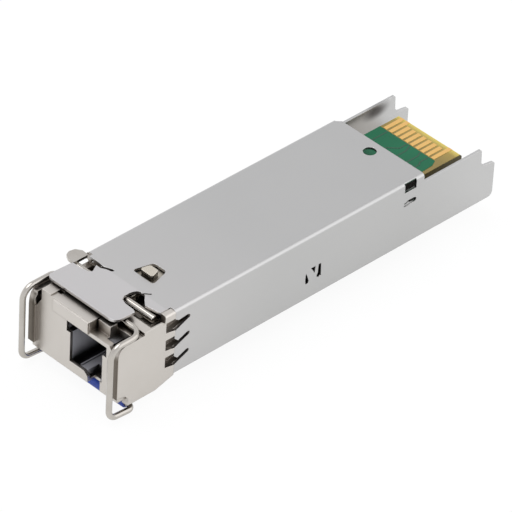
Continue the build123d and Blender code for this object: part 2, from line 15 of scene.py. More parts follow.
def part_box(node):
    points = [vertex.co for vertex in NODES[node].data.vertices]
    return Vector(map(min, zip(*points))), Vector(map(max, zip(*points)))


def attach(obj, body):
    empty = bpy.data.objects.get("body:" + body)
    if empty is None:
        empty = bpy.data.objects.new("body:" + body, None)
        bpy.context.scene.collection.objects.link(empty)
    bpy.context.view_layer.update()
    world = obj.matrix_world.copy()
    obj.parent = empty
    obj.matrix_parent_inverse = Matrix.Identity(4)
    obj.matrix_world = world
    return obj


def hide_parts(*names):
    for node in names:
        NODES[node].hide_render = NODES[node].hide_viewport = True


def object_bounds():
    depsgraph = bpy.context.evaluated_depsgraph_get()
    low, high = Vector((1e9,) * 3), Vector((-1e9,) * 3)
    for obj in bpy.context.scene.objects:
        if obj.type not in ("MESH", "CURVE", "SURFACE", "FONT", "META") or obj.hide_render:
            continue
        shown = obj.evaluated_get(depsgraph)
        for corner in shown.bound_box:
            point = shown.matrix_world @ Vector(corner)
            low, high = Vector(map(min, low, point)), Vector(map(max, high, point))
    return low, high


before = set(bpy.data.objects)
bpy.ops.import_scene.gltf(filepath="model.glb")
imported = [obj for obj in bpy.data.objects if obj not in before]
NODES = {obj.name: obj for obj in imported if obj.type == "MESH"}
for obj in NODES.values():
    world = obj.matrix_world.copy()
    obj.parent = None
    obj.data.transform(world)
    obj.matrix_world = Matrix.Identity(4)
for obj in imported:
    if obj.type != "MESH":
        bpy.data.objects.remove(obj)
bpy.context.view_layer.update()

# %% [markdown]
# Colours are written as they look on a screen, in sRGB hex. Blender's shaders want linear light,
# so one function turns the one into the other. Lengths on this part are given in millimetres.

# %% Colour and length helpers
MM = 0.001


def linear(code):
    """An sRGB hex colour as linear RGBA."""
    parts = [int(code[i:i + 2], 16) / 255 for i in (1, 3, 5)]
    return [p / 12.92 if p <= 0.04045 else ((p + 0.055) / 1.055) ** 2.4 for p in parts] + [1.0]


def per_mm(size):
    """The scale of a noise pattern on Object coordinates whose features are this many mm apart."""
    return 1.0 / (size * MM)


# %% [markdown]
# Every material is a small tree of nodes. One function adds a node, sets its sockets and links
# its inputs, so that each recipe below reads from the pattern down to the surface.

# %% A function that adds a node
# A Mix node's two colour inputs and its colour output, which share their names with other kinds.
MIX_A, MIX_B, MIX_OUT = 6, 7, 2


def add(tree, kind, values=(), links=(), **settings):
    """Adds a node with settings, socket values and links from other sockets."""
    node = tree.nodes.new(kind)
    for name, value in settings.items():
        setattr(node, name, value)
    for name, value in dict(values).items():
        node.inputs[name].default_value = value
    for name, source in dict(links).items():
        tree.links.new(source, node.inputs[name])
    return node


def new_material(name):
    """An empty material and its tree."""
    material = bpy.data.materials.new(name)
    material.use_nodes = True
    tree = material.node_tree
    tree.nodes.clear()
    return material, tree


print("helpers: add, new_material")

# %% [markdown]
# Some steps come back in several recipes: a colour that drifts between two tones, a colour that
# changes along the part as painted light and shade, painted shade that darkens recesses, and a
# grained skin. Each has its own function.

# %% Steps that the recipes share
NOISE_LOW, NOISE_HIGH = 0.3, 0.7  # noise values lie mostly between these two


def drifting(tree, place, pale, deep, size_mm, detail=3.0):
    """A colour that drifts between two tones over a distance."""
    cloud = add(tree, "ShaderNodeTexNoise", {"Scale": per_mm(size_mm), "Detail": detail},
                {"Vector": place})
    tint = add(tree, "ShaderNodeMix", links={"Factor": cloud.outputs["Fac"]}, data_type="RGBA")
    tint.inputs[MIX_A].default_value = linear(pale)
    tint.inputs[MIX_B].default_value = linear(deep)
    return tint


def along_y(tree, place, first, *light_and_shade_stops):
    """A colour that changes along Y: a first hex, then (hex, from mm, to mm) for each change."""
    spot = add(tree, "ShaderNodeSeparateXYZ", links={"Vector": place})
    colour = add(tree, "ShaderNodeMix", {"Factor": 0.0}, data_type="RGBA")
    colour.inputs[MIX_A].default_value = linear(first)
    for code, start, end in light_and_shade_stops:
        reach = add(tree, "ShaderNodeMapRange", {"From Min": start * MM, "From Max": end * MM},
                    {"Value": spot.outputs["Y"]})
        mixed = add(tree, "ShaderNodeMix", links={"Factor": reach.outputs["Result"]}, data_type="RGBA")
        tree.links.new(colour.outputs[MIX_OUT], mixed.inputs[MIX_A])
        mixed.inputs[MIX_B].default_value = linear(code)
        colour = mixed
    return colour


def painted_recess_shade(tree, tint, painted_shade, reach_mm, closed, clear):
    """Painted shade: a colour that fades to a darker one where less than the clear share of the sky is
    open.
    """
    sky = add(tree, "ShaderNodeAmbientOcclusion", {"Distance": reach_mm * MM}, samples=8)
    share = add(tree, "ShaderNodeMapRange", {"From Min": closed, "From Max": clear},
                {"Value": sky.outputs["AO"]})
    shaded_tint = add(tree, "ShaderNodeMix", links={"Factor": share.outputs["Result"]}, data_type="RGBA")
    shaded_tint.inputs[MIX_A].default_value = linear(painted_shade)
    tree.links.new(tint.outputs[MIX_OUT], shaded_tint.inputs[MIX_B])
    return shaded_tint


def grained_skin(tree, grain, rough, spread, relief_mm, edge_mm):
    """Roughness and normal of a grained surface with softened edges, as links to a shader."""
    rubbed = add(tree, "ShaderNodeMapRange",
                 {"From Min": NOISE_LOW, "From Max": NOISE_HIGH,
                  "To Min": rough * spread[0], "To Max": rough * spread[1]},
                 {"Value": grain.outputs["Fac"]})
    edge = add(tree, "ShaderNodeBevel", {"Radius": edge_mm * MM}, samples=4)
    bump = add(tree, "ShaderNodeBump", {"Strength": 1.0, "Distance": relief_mm * MM},
               {"Height": grain.outputs["Fac"], "Normal": edge.outputs["Normal"]})
    return {"Roughness": rubbed.outputs["Result"], "Normal": bump.outputs["Normal"]}


print("shared steps: drifting, along_y, recessed, grained_skin")

# %% [markdown]
# Some visible forms are finer here than in the measured model: the notches and windows of the
# sheet, the trench round the pin, the shoulders of the port, the pin's beaten end and the bends of
# the bail. Modelling these pieces from nothing would lose the measured sizes, so blocks are added
# to a copy of the measured piece and shapes are milled out of it, as a toolmaker would do.
# The small bodies for these steps come from three makers.

# %% Blocks, prisms and rods in millimetres
def block(mesh, x, y, z):
    """A block between three pairs of bounds."""
    low, high = Vector((x[0], y[0], z[0])) * MM, Vector((x[1], y[1], z[1])) * MM
    shape = Matrix.Translation((low + high) / 2) @ Matrix.Diagonal((*(high - low), 1))
    bmesh.ops.create_cube(mesh, size=1.0, matrix=shape)


def prism(mesh, outline, axis, low, high, rounding=0.0):
    """An outline drawn out along an axis, 0 for X to 2 for Z, with its long edges rounded."""
    def place(point):
        spot = list(point)
        spot.insert(axis, low)
        return Vector(spot) * MM

    face = mesh.faces.new([mesh.verts.new(place(point)) for point in outline])
    drawn = bmesh.ops.extrude_face_region(mesh, geom=[face])["geom"]
    moved = [part for part in drawn if isinstance(part, bmesh.types.BMVert)]
    length = (high - low) * MM
    along = Vector((0, 0, 0))
    along[axis] = length
    bmesh.ops.translate(mesh, verts=moved, vec=along)
    if rounding:
        sides = [e for e in mesh.edges if abs((e.verts[0].co - e.verts[1].co)[axis]) > length * 0.5]
        bmesh.ops.bevel(mesh, geom=sides, offset=rounding * MM, segments=5, profile=0.5,
                        affect="EDGES", material=-1)


def rod(mesh, radius, start, end, segments=40):
    """A closed round rod between two points."""
    a, b = Vector(start) * MM, Vector(end) * MM
    shape = Matrix.Translation((a + b) / 2) @ (b - a).to_track_quat("Z", "Y").to_matrix().to_4x4()
    bmesh.ops.create_cone(mesh, cap_ends=True, segments=segments, radius1=radius * MM,
                          radius2=radius * MM, depth=(b - a).length, matrix=shape)


def both_sides(maker, mesh, x, *rest):
    """The same form on the near and the far side."""
    maker(mesh, x, *rest)
    maker(mesh, (-x[1], -x[0]), *rest)


def made(maker, *calls):
    """One bmesh that holds a body for each call."""
    mesh = bmesh.new()
    for call in calls:
        maker(mesh, *call)
    return mesh


print("makers: block, prism, rod")

# %% [markdown]
# Each step of the work is a Boolean modifier. Booleans leave flat faces in slivers, so these are
# joined again, and the shading is then smooth across bends and sharp at corners.

# %% Adding to a piece and milling it
def baked(thing):
    """The mesh that an object's modifiers or bevel give."""
    graph = bpy.context.evaluated_depsgraph_get()
    return bpy.data.meshes.new_from_object(thing.evaluated_get(graph))


def shown(name, data):
    """An object with this mesh, in the scene."""
    thing = bpy.data.objects.new(name, data)
    bpy.context.scene.collection.objects.link(thing)
    return thing


def as_mesh(shape):
    """A bmesh as a mesh, with its faces turned outwards."""
    bmesh.ops.recalc_face_normals(shape, faces=shape.faces)
    data = bpy.data.meshes.new("shape")
    shape.to_mesh(data)
    shape.free()
    return data


def copied(node):
    """A merged copy of a measured piece, without its stored normals."""
    source = NODES[node].data.copy()
    normals = source.attributes.get("custom_normal")
    if normals:
        source.attributes.remove(normals)
    shape = bmesh.new()
    shape.from_mesh(source)
    bmesh.ops.remove_doubles(shape, verts=shape.verts, dist=1e-7)
    return as_mesh(shape)


def worked(data, steps):
    """A closed mesh after unions and cuts, in their order."""
    host = shown("work", data)
    tools = []
    for operation, shape in steps:
        tools.append(shown("tool", as_mesh(shape)))
        work = host.modifiers.new("work", "BOOLEAN")
        work.operation, work.solver, work.use_self, work.object = operation, "EXACT", True, tools[-1]
    result = baked(host)
    for thing in [host, *tools]:
        bpy.data.objects.remove(thing)
    return result


def soft_shaded(data, degrees=32):
    """Smooth across bends and fillets, and sharp at corners, with flat faces left flat."""
    shape = bmesh.new()
    shape.from_mesh(data)
    bmesh.ops.remove_doubles(shape, verts=shape.verts, dist=2e-7)
    bmesh.ops.dissolve_degenerate(shape, edges=shape.edges, dist=2e-7)
    bmesh.ops.dissolve_limit(shape, angle_limit=radians(0.3), verts=shape.verts, edges=shape.edges)
    shape.to_mesh(data)
    shape.free()
    data.shade_smooth()
    data.set_sharp_from_angle(angle=radians(degrees))
    host = shown("shade", data)
    weights = host.modifiers.new("weights", "WEIGHTED_NORMAL")
    weights.keep_sharp = True
    result = baked(host)
    bpy.data.objects.remove(host)
    return result


def dress(name, data, material, body, node=""):
    """A finished piece that rides on a body and, where a node is named, stands for it."""
    data.name = name
    data.materials.clear()
    data.materials.append(material)
    piece = shown(name, data)
    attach(piece, body)
    if node:
        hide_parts(node)
    print(name, "faces", len(data.polygons))


print("steps: copied, worked, soft_shaded, dress")

# %% [markdown]
# Plated metal is never quite even. The recipe below has a broad, faint cloudiness in colour, a
# grain in millimetres that moves roughness and relief, and a softened edge, because a pressed or
# cast edge has a small radius that catches the light as a thin bright line.

# %% Recipe for plated metal
def plated_metal(name, pale, deep, rough, grain_mm, relief_mm, edge_mm, cloud_mm, stretch=(1, 1, 1),
                 painted_shade="", painted_shade_mm=0.0, light_and_shade_stops=(), painted_reflection_spot=()):
    """A nickel-plated surface with cloudiness, grain and softened edges.

    Painted shade fades recesses to a darker colour, the stops paint the colour lighter and darker
    along Y for the light and shade that fall there, and a painted dark reflection lies at one
    point."""
    material, tree = new_material(name)
    place = add(tree, "ShaderNodeTexCoord").outputs["Object"]
    tint = drifting(tree, place, pale, deep, cloud_mm)
    # Painted shade: the colour goes darker in recesses.
    if painted_shade:
        tint = painted_recess_shade(tree, tint, painted_shade, painted_shade_mm, closed=0.3, clear=0.92)
    # Painted light and shade: the colour is made lighter or darker along Y.
    if light_and_shade_stops:
        light_and_shade_toned = add(tree, "ShaderNodeMix", {"Factor": 1.0}, data_type="RGBA", blend_type="MULTIPLY")
        tree.links.new(tint.outputs[MIX_OUT], light_and_shade_toned.inputs[MIX_A])
        tree.links.new(along_y(tree, place, *light_and_shade_stops).outputs[MIX_OUT], light_and_shade_toned.inputs[MIX_B])
        tint = light_and_shade_toned
    # A painted dark reflection: a dark spot at one point.
    if painted_reflection_spot:
        code, centre, size = painted_reflection_spot
        away = add(tree, "ShaderNodeVectorMath", {1: Vector(centre) * MM}, {0: place},
                   operation="SUBTRACT")
        scaled = add(tree, "ShaderNodeVectorMath", {1: [1 / (c * MM) for c in size]},
                     {0: away.outputs[0]}, operation="MULTIPLY")
        far = add(tree, "ShaderNodeVectorMath", links={0: scaled.outputs[0]}, operation="LENGTH")
        near = add(tree, "ShaderNodeMapRange", {"From Min": 1.0, "From Max": 0.15, "To Max": 0.85},
                   {"Value": far.outputs["Value"]}, interpolation_type="SMOOTHSTEP")
        reflection_painted = add(tree, "ShaderNodeMix", links={"Factor": near.outputs["Result"]}, data_type="RGBA")
        tree.links.new(tint.outputs[MIX_OUT], reflection_painted.inputs[MIX_A])
        reflection_painted.inputs[MIX_B].default_value = linear(code)
        tint = reflection_painted
    drawn = add(tree, "ShaderNodeMapping", {"Scale": stretch}, {"Vector": place})
    grain = add(tree, "ShaderNodeTexNoise", {"Scale": per_mm(grain_mm), "Detail": 4.0, "Roughness": 0.6},
                {"Vector": drawn.outputs["Vector"]})
    skin = grained_skin(tree, grain, rough, (0.95, 1.06), relief_mm, edge_mm)
    surface = add(tree, "ShaderNodeBsdfPrincipled", {"Metallic": 1.0},
                  {"Base Color": tint.outputs[MIX_OUT], **skin})
    add(tree, "ShaderNodeOutputMaterial", links={"Surface": surface.outputs["BSDF"]})
    return material


print("recipe: plated_metal")

# %% [markdown]
# The sheet is smoother and cooler than the casting. Both get painted shade in recesses, and the
# casting is painted dark from just behind the nose to the rear bay, for the shade in there, where only
# holes let light in. The real grains are mostly finer than a tenth of a millimetre. They are drawn
# coarser here, to show at all.

# %% Six metals
# Cold-rolled steel sheet, nickel plated: an even satin with a soft sheen. The rolling grain is
# 0.35 mm wide and drawn out lengthways. Painted shade darkens its recesses, painted light makes the
# tongue and the rear end lighter than the belly's middle, and a painted dark reflection lies inside
# the far skirt's rear end.
rolled_sheet = plated_metal(
    "nickel_plated_rolled_sheet", "#D2D1D0", "#CECDCC", rough=0.3, grain_mm=0.35, relief_mm=0.00005,
    edge_mm=0.1, cloud_mm=9.0, stretch=(1, 0.06, 1), painted_shade="#A09C98", painted_shade_mm=0.9,
    light_and_shade_stops=["#F4F3F4", ("#ECECEC", -3.1, -2.9), ("#E6E7E7", -2, 12), ("#E5E6E6", 12, 30),
           ("#EDEEEE", 33, 42)],
    painted_reflection_spot=("#3E3935", (-6.4, 39.8, 6.35), (0.6, 2.6, 1.3)))
# Zinc die casting, nickel plated: warmer than the sheet, with a cast grain of 0.6 mm that dulls
# it. Painted shade darkens its recesses, the plates' front edges before y -10.46, and its inside
# from just behind the nose to the rear bay.
plated_casting = plated_metal(
    "nickel_plated_zinc_casting", "#D1CDC8", "#CAC6C0", rough=0.3, grain_mm=0.6, relief_mm=0.00012,
    edge_mm=0.12, cloud_mm=2.6, painted_shade="#6C635A", painted_shade_mm=1.1,
    light_and_shade_stops=["#98928A", ("#FAF9F8", -10.46, -10.36), ("#2C2A28", 0.6, 1.4), ("#E8E8E8", 34.0, 36.0)])
# Drawn steel wire, nickel plated: bright, with crisp dark and light stripes along it, and painted shade
# in the recesses it passes.
drawn_wire = plated_metal(
    "nickel_plated_wire", "#C3BFB9", "#B2ADA6", rough=0.16, grain_mm=0.5, relief_mm=0.0006,
    edge_mm=0.04, cloud_mm=2.0, painted_shade="#5B544B", painted_shade_mm=0.9)
# The stamped rocker: creamy nickel, duller than the wire, with painted shade round its boss.
stamped_lever = plated_metal(
    "nickel_plated_stamping", "#D6D0C4", "#C8C1B3", rough=0.27, grain_mm=0.5, relief_mm=0.0003,
    edge_mm=0.14, cloud_mm=2.0, painted_shade="#2E2822", painted_shade_mm=0.7)
# Turned stainless steel inside: cool grey, with turning marks across Y.
turned_steel = plated_metal(
    "turned_stainless_steel", "#BFC0C2", "#B0B1B4", rough=0.25, grain_mm=0.15, relief_mm=0.0006,
    edge_mm=0.05, cloud_mm=3.0, stretch=(1, 6, 1))
# Gold flashed over nickel: smooth, warm and satin.
gilding = plated_metal(
    "gold_plate", "#EFC47C", "#E8B96E", rough=0.3, grain_mm=0.3, relief_mm=0.0002,
    edge_mm=0.02, cloud_mm=1.5)
METALS = [rolled_sheet, plated_casting, drawn_wire, stamped_lever, turned_steel, gilding]
print("metals:", [metal.name for metal in METALS])

# %% [markdown]
# Moulded plastic, ceramic and laminate are not metal: their colour comes from below the surface
# and their gloss from a clear skin. The grain is finer than the eye can follow, but it breaks up
# the reflection, so it is kept in roughness and in a very low bump, and drawn coarser than it is.

# %% Moulded and fired surfaces
def moulded(name, pale, deep, rough, grain_mm, relief_mm, ior, edge_mm, spread_mm=2.0, painted_shade="",
            painted_shade_mm=0.0):
    """A non-metal surface with a slight change of tone, a fine grain and painted shade in recesses."""
    material, tree = new_material(name)
    place = add(tree, "ShaderNodeTexCoord").outputs["Object"]
    tint = drifting(tree, place, pale, deep, spread_mm)
    # Painted shade: the colour goes darker in recesses.
    if painted_shade:
        tint = painted_recess_shade(tree, tint, painted_shade, painted_shade_mm, closed=0.5, clear=0.95)
    fine = add(tree, "ShaderNodeTexNoise", {"Scale": per_mm(grain_mm), "Detail": 3.0}, {"Vector": place})
    skin = grained_skin(tree, fine, rough, (0.85, 1.15), relief_mm, edge_mm)
    surface = add(tree, "ShaderNodeBsdfPrincipled", {"IOR": ior},
                  {"Base Color": tint.outputs[MIX_OUT], **skin})
    add(tree, "ShaderNodeOutputMaterial", links={"Surface": surface.outputs["BSDF"]})
    return material


# Nylon, injection moulded: deep blue, with a soft satin highlight.
blue_moulding = moulded("blue_nylon", "#1340A8", "#0D308C", rough=0.34, grain_mm=0.15,
                        relief_mm=0.001, ior=1.53, edge_mm=0.08, spread_mm=3.0)
# Liquid crystal polymer, moulded: grey where light falls on it, and painted shade makes it black down in
# the port.
black_moulding = moulded("black_liquid_crystal_polymer", "#A6A6AC", "#8E8E94", rough=0.36,
                         grain_mm=0.2, relief_mm=0.001, ior=1.6, edge_mm=0.05, painted_shade="#060607",
                         painted_shade_mm=2.2)
# Zirconia, ground and polished: white, with a sharp gloss.
zirconia = moulded("ground_zirconia", "#EFEDE6", "#E4E1D8", rough=0.15, grain_mm=0.1,
                   relief_mm=0.0003, ior=2.1, edge_mm=0.03)
# Polyimide film, cast and laminated: clear amber that looks solid over its copper.
polyimide = moulded("polyimide_film", "#C9822B", "#B06E20", rough=0.28, grain_mm=0.2,
                    relief_mm=0.0008, ior=1.6, edge_mm=0.02)
# Filled epoxy, moulded round the chips: charcoal and matt.
epoxy_black = moulded("moulded_epoxy_package", "#2A2A2D", "#1F1F22", rough=0.55, grain_mm=0.08,
                      relief_mm=0.003, ior=1.55, edge_mm=0.04)
# Ceramic, pressed and fired: sandy brown and dull.
fired_ceramic = moulded("fired_ceramic", "#A98B66", "#94764F", rough=0.45, grain_mm=0.1,
                        relief_mm=0.001, ior=1.6, edge_mm=0.04)
# Silicone pad, cured: grey blue and quite matt.
soft_pad = moulded("silicone_pad", "#9AA3B8", "#8791A8", rough=0.7, grain_mm=0.2,
                   relief_mm=0.004, ior=1.42, edge_mm=0.1)
MOULDED = [blue_moulding, black_moulding, zirconia, polyimide, epoxy_black, fired_ceramic, soft_pad]
print("moulded and fired:", [surface.name for surface in MOULDED])

# %% [markdown]
# Green solder mask is a thin lacquer over the laminate and its copper. It is satin, it pools
# slightly, and it is a little darker over the copper tracks. It could be a clear coat over a board
# texture, but one opaque colour is enough, because nothing but the tracks shows through.

# %% Solder mask
def solder_mask():
    """Green lacquer with faint pooling and the weave of the laminate under it."""
    material, tree = new_material("green_solder_mask")
    place = add(tree, "ShaderNodeTexCoord").outputs["Object"]
    tint = drifting(tree, place, "#0E6343", "#0A5639", 3.5, detail=2.0)
    weave = add(tree, "ShaderNodeTexNoise", {"Scale": per_mm(0.3), "Detail": 2.0}, {"Vector": place})
    bump = add(tree, "ShaderNodeBump", {"Strength": 1.0, "Distance": 0.001 * MM},
               {"Height": weave.outputs["Fac"]})
    surface = add(tree, "ShaderNodeBsdfPrincipled",
                  {"IOR": 1.52, "Roughness": 0.38, "Specular IOR Level": 0.2},
                  {"Base Color": tint.outputs[MIX_OUT], "Normal": bump.outputs["Normal"]})
    add(tree, "ShaderNodeOutputMaterial", links={"Surface": surface.outputs["BSDF"]})
    return material


mask_green = solder_mask()
print("mask:", mask_green.name)

# %% [markdown]
# Bare glass-epoxy shows round the contacts. It is painted dark under the cover and olive between
# the contacts, for the shade there, and shows its own paler colour at the free edge. Its sawn
# sides are painted darker than its face, for the shade on them. The colour is tied to the place
# along Y, because one board goes through all of these.

# %% Bare laminate
FACE_Z = (5.75, 5.82)


def bare_laminate():
    """Glass-epoxy with the weave of its cloth."""
    material, tree = new_material("glass_epoxy_laminate")
    place = add(tree, "ShaderNodeTexCoord").outputs["Object"]
    # Painted shade on the face: dark under the cover, olive between the contacts, its own pale colour at
    # the free edge.
    face = along_y(tree, place, "#100D07", ("#7D6A2E", 34.5, 36.0), ("#8F7A33", 39.0, 40.6),
                   ("#C6B250", 40.8, 41.6))
    # Painted shade on the sawn sides, darker than the face.
    side = along_y(tree, place, "#080705", ("#5A5026", 34.6, 35.4))
    spot = add(tree, "ShaderNodeSeparateXYZ", links={"Vector": place})
    upper = add(tree, "ShaderNodeMapRange", {"From Min": FACE_Z[0] * MM, "From Max": FACE_Z[1] * MM},
                {"Value": spot.outputs["Z"]})
    colour = add(tree, "ShaderNodeMix", links={"Factor": upper.outputs["Result"]}, data_type="RGBA")
    tree.links.new(side.outputs[MIX_OUT], colour.inputs[MIX_A])
    tree.links.new(face.outputs[MIX_OUT], colour.inputs[MIX_B])
    cloth = add(tree, "ShaderNodeTexNoise", {"Scale": per_mm(0.3), "Detail": 2.0}, {"Vector": place})
    bump = add(tree, "ShaderNodeBump", {"Strength": 1.0, "Distance": 0.0015 * MM},
               {"Height": cloth.outputs["Fac"]})
    surface = add(tree, "ShaderNodeBsdfPrincipled", {"IOR": 1.55, "Roughness": 0.42},
                  {"Base Color": colour.outputs[MIX_OUT], "Normal": bump.outputs["Normal"]})
    add(tree, "ShaderNodeOutputMaterial", links={"Surface": surface.outputs["BSDF"]})
    return material


laminate = bare_laminate()
print("laminate:", laminate.name)

# %% [markdown]
# Each measured piece now gets the finish of the real one. The shapes that are right as they are
# stay in the picture with it, and the others are replaced further down.

# %% Finishes onto the measured pieces
FINISHES = {
    rolled_sheet: ["cover"],
    plated_casting: ["nose_casting"],
    drawn_wire: ["bail_wire", "lever_pin"],
    stamped_lever: ["latch_lever"],
    turned_steel: ["latch_spring", "receptacle_barrel", "receptacle_yoke", "optics_body"],
    gilding: ["laser_can", "detector_can", "laser_leads", "detector_leads", "edge_contacts"],
    blue_moulding: ["bail_sleeve"],
    black_moulding: ["port_insert"],
    zirconia: ["ferrule_sleeve", "fibre_stub"],
    laminate: ["main_board"],
    mask_green: ["solder_mask"],
    polyimide: ["laser_flex", "detector_flex"],
    epoxy_black: ["driver_chip", "controller_chip", "memory_chip", "resistors", "inductors"],
    fired_ceramic: ["capacitors"],
    soft_pad: ["thermal_pad"],
}
for finish, names in FINISHES.items():
    for name in names:
        mesh = NODES[name].data
        mesh.materials.clear()
        mesh.materials.append(finish)
print("finished nodes:", sum(len(v) for v in FINISHES.values()), "of", len(NODES))

# %% [markdown]
# The cover is one folded sheet. Beside the pin the real one has a small hook-shaped notch, with a
# short slit that runs off it, where the measured one has a longer gap. The gap is filled with
# sheet of the same thickness, and the outline of the real notch is cut again. The snap windows and
# the half slots in the skirts are plain in the measured one, so they are filled and cut again too.

# %% Outlines in the cover
# On the belly, as (x, y).
near_fill = [(2.1, -3.3), (3.26, -3.62), (3.97, -4.25), (5.9, -3.95), (5.9, -2.5), (2.1, -2.5)]
near_notch = [(8, -5.85), (4.2, -5.85), (3.75, -5.65), (2.5, -5.6), (1.8, -5.35), (1.45, -4.8),
              (1.4, -3.95), (1.6, -3.3), (2.1, -3.07), (2.52, -2.98), (2.75, -3.1), (3.26, -3.62),
              (3.97, -4.2), (4.58, -4.1), (5.22, -4.0), (5.95, -3.85), (8, -3.85)]
far_notch = [(-8, -5.0), (-5.2, -5.0), (-4.0, -4.8), (-3.73, -4.49), (-4.3, -3.4), (-3.6, -3.4),
             (-2.9, -2.95), (-2.5, -2.95), (-2.35, -2.75), (-2.55, -2.6), (-2.95, -2.75),
             (-3.6, -3.2), (-4.3, -2.98), (-8, -2.9)]
slit = [(2.45, -3.05), (2.33, -2.9), (2.95, -2.35), (3.1, -2.48)]
boss_hole = [(-1.3, -1.12), (1.9, -1.12), (1.25, 1.38), (-0.65, 1.38)]
# In the skirts, as (y, z).
snap_window = [
    [(16.57, 3.42), (16.82, 2.85), (17.02, 2.29), (16.93, 2.0), (16.66, 1.98), (16.52, 2.12),
     (16.49, 2.73), (16.52, 3.18)],
    [(17.26, 3.78), (17.94, 3.78), (17.9, 3.31), (17.83, 2.91), (17.57, 3.39)],
    [(18.42, 3.81), (18.77, 3.75), (18.81, 2.68), (18.83, 2.1), (18.65, 2.23), (18.49, 2.05),
     (18.23, 2.19), (18.15, 2.33), (18.34, 2.74), (18.36, 3.32)],
]
half_slot = [(30.98, 5.1), (31.04, 5.53), (31.6, 5.74), (32.55, 5.74), (32.85, 5.54), (32.85, 5.27),
             (32.59, 5.14), (32.25, 5.14), (31.21, 5.0)]
half_slot_tab = [(30.9, 5.3), (31.6, 5.38), (31.95, 5.33), (31.9, 5.25), (31.41, 5.23), (30.9, 5.17)]
belly_cuts, skirt_cuts = [near_notch, far_notch, slit], [*snap_window, half_slot]
print("outlines:", len(belly_cuts), "in the belly,", len(skirt_cuts), "in each skirt, and the boss hole")

# %% [markdown]
# Both skirts and the belly are filled and cut with a few bodies. The real openings are pierced in
# the flat sheet before it is folded, so all of them go straight through it. Only the half slot's
# tab is put back, a little thinner than the sheet.

# %% Cover with its notches and windows
BELLY = (7.84, 8.14)
THROUGH_BELLY = (7.0, 9.0)
NEAR_SKIRT, FAR_SKIRT = (6.4, 6.7), (-6.7, -6.4)
skirt_fill, skirt_cut, skirt_tab = bmesh.new(), bmesh.new(), bmesh.new()
for low, high in (NEAR_SKIRT, FAR_SKIRT):
    block(skirt_fill, (low, high), (16.3, 19.1), (1.9, 4.1))
    block(skirt_fill, (low, high), (30.8, 33.0), (5.0, 5.9))
    for outline in skirt_cuts:
        prism(skirt_cut, outline, 0, low - 0.1, high + 0.1)
    prism(skirt_tab, half_slot_tab, 0, low + 0.05, high - 0.05)
cover_steps = [
    ("UNION", skirt_fill),
    ("DIFFERENCE", skirt_cut),
    ("UNION", skirt_tab),
    ("UNION", made(prism, (near_fill, 2, *BELLY))),
    ("UNION", made(block, ((-4.35, -3.7), (-4.6, -3.1), BELLY))),
    *[("DIFFERENCE", made(prism, (outline, 2, *THROUGH_BELLY))) for outline in belly_cuts],
    ("DIFFERENCE", made(prism, (boss_hole, 2, *THROUGH_BELLY, 0.4))),
]
cover = soft_shaded(worked(copied("cover"), cover_steps))
dress("sheet_cover", cover, rolled_sheet, "body", "cover")

# %% [markdown]
# The nose is a die casting. Its belly side is filled level first, and then everything that the
# mould's cores left open is taken out again: the trench and the wells round the pin, the corner
# pockets by the bail, the pocket for the lever, and the port with its two upper shoulders. The lip
# over the port and the bridge beside it are added in between.

# %% Measures of the nose
FACE, LEVEL_REAR, LAND, SILL, LIP_TOP = -10.1, -2.43, 7.15, 6.5, 7.75
BEFORE, OVER = -11, 9  # cutters start before the face and end over the belly
PIN_Y, PIN_Z, PIN_R = -4.4, 7.4, 0.45
PIN_LOW = PIN_Z - PIN_R
PORT_X, PORT_Z = (-0.83, 4.05), (1.1, 6.04)
SHOULDER_X, SHOULDER_Z = (-1.39, 4.62), 4.75
INSERT_X, INSERT_Z, INSERT_Y = (-1.69, 4.92), (0.25, 6.34), (-9.75, -0.2)
FAR_POCKET = (-5.9, -5.25)
CHANNEL_Z = ((1.1, 2.7), (3.35, 4.95), (5.65, 6.85))
WINDOW_Y, WINDOW_Z = (15.8, 19.6), (1.5, 4.62)
print("pin at", (PIN_Y, PIN_Z), "port", PORT_X, "by", PORT_Z, "mm")

# %% [markdown]
# The steps run in the order in which a mould maker would think of them: the filled belly side, the
# corner pockets, the lip and the bridge, the room for the lever and the pin, and last the port.

# %% Nose casting
steps_up, ribs, channels, window_room = bmesh.new(), bmesh.new(), bmesh.new(), bmesh.new()
both_sides(block, steps_up, (5.9, 6.75), (-6.8, -4.2), (LAND - 0.1, 7.5))
both_sides(block, ribs, (2.3, 6.2), (-6.8, -5.7), (LAND - 0.5, 7.5))
both_sides(block, window_room, (5.0, 7.4), WINDOW_Y, WINDOW_Z)
for low, high in CHANNEL_Z:
    lance = [(-3.75, low + 0.25), (LEVEL_REAR, low), (0.1, low + 0.6), (0.1, high), (-3.75, high)]
    prism(channels, lance, 0, 5.75, 7.75)
    prism(channels, lance, 0, -7.75, -5.75)
near_corner = [(5.95, 5.4), (5.0, SILL + 0.02), (5.95, SILL + 0.02)]
far_corner = [(-5.95, 5.4), (FAR_POCKET[1], SILL + 0.02), (-5.95, SILL + 0.02)]
key_top = PORT_Z[0] + 0.05
key_cut = [(1.3, key_top), (1.9, 0.65), (1.9, -1), (3.8, -1), (3.8, key_top)]
lip_front = [(-10.32, 6.3), (-9.9, 6.12), (-9.9, LIP_TOP), (-10.32, 7.7)]
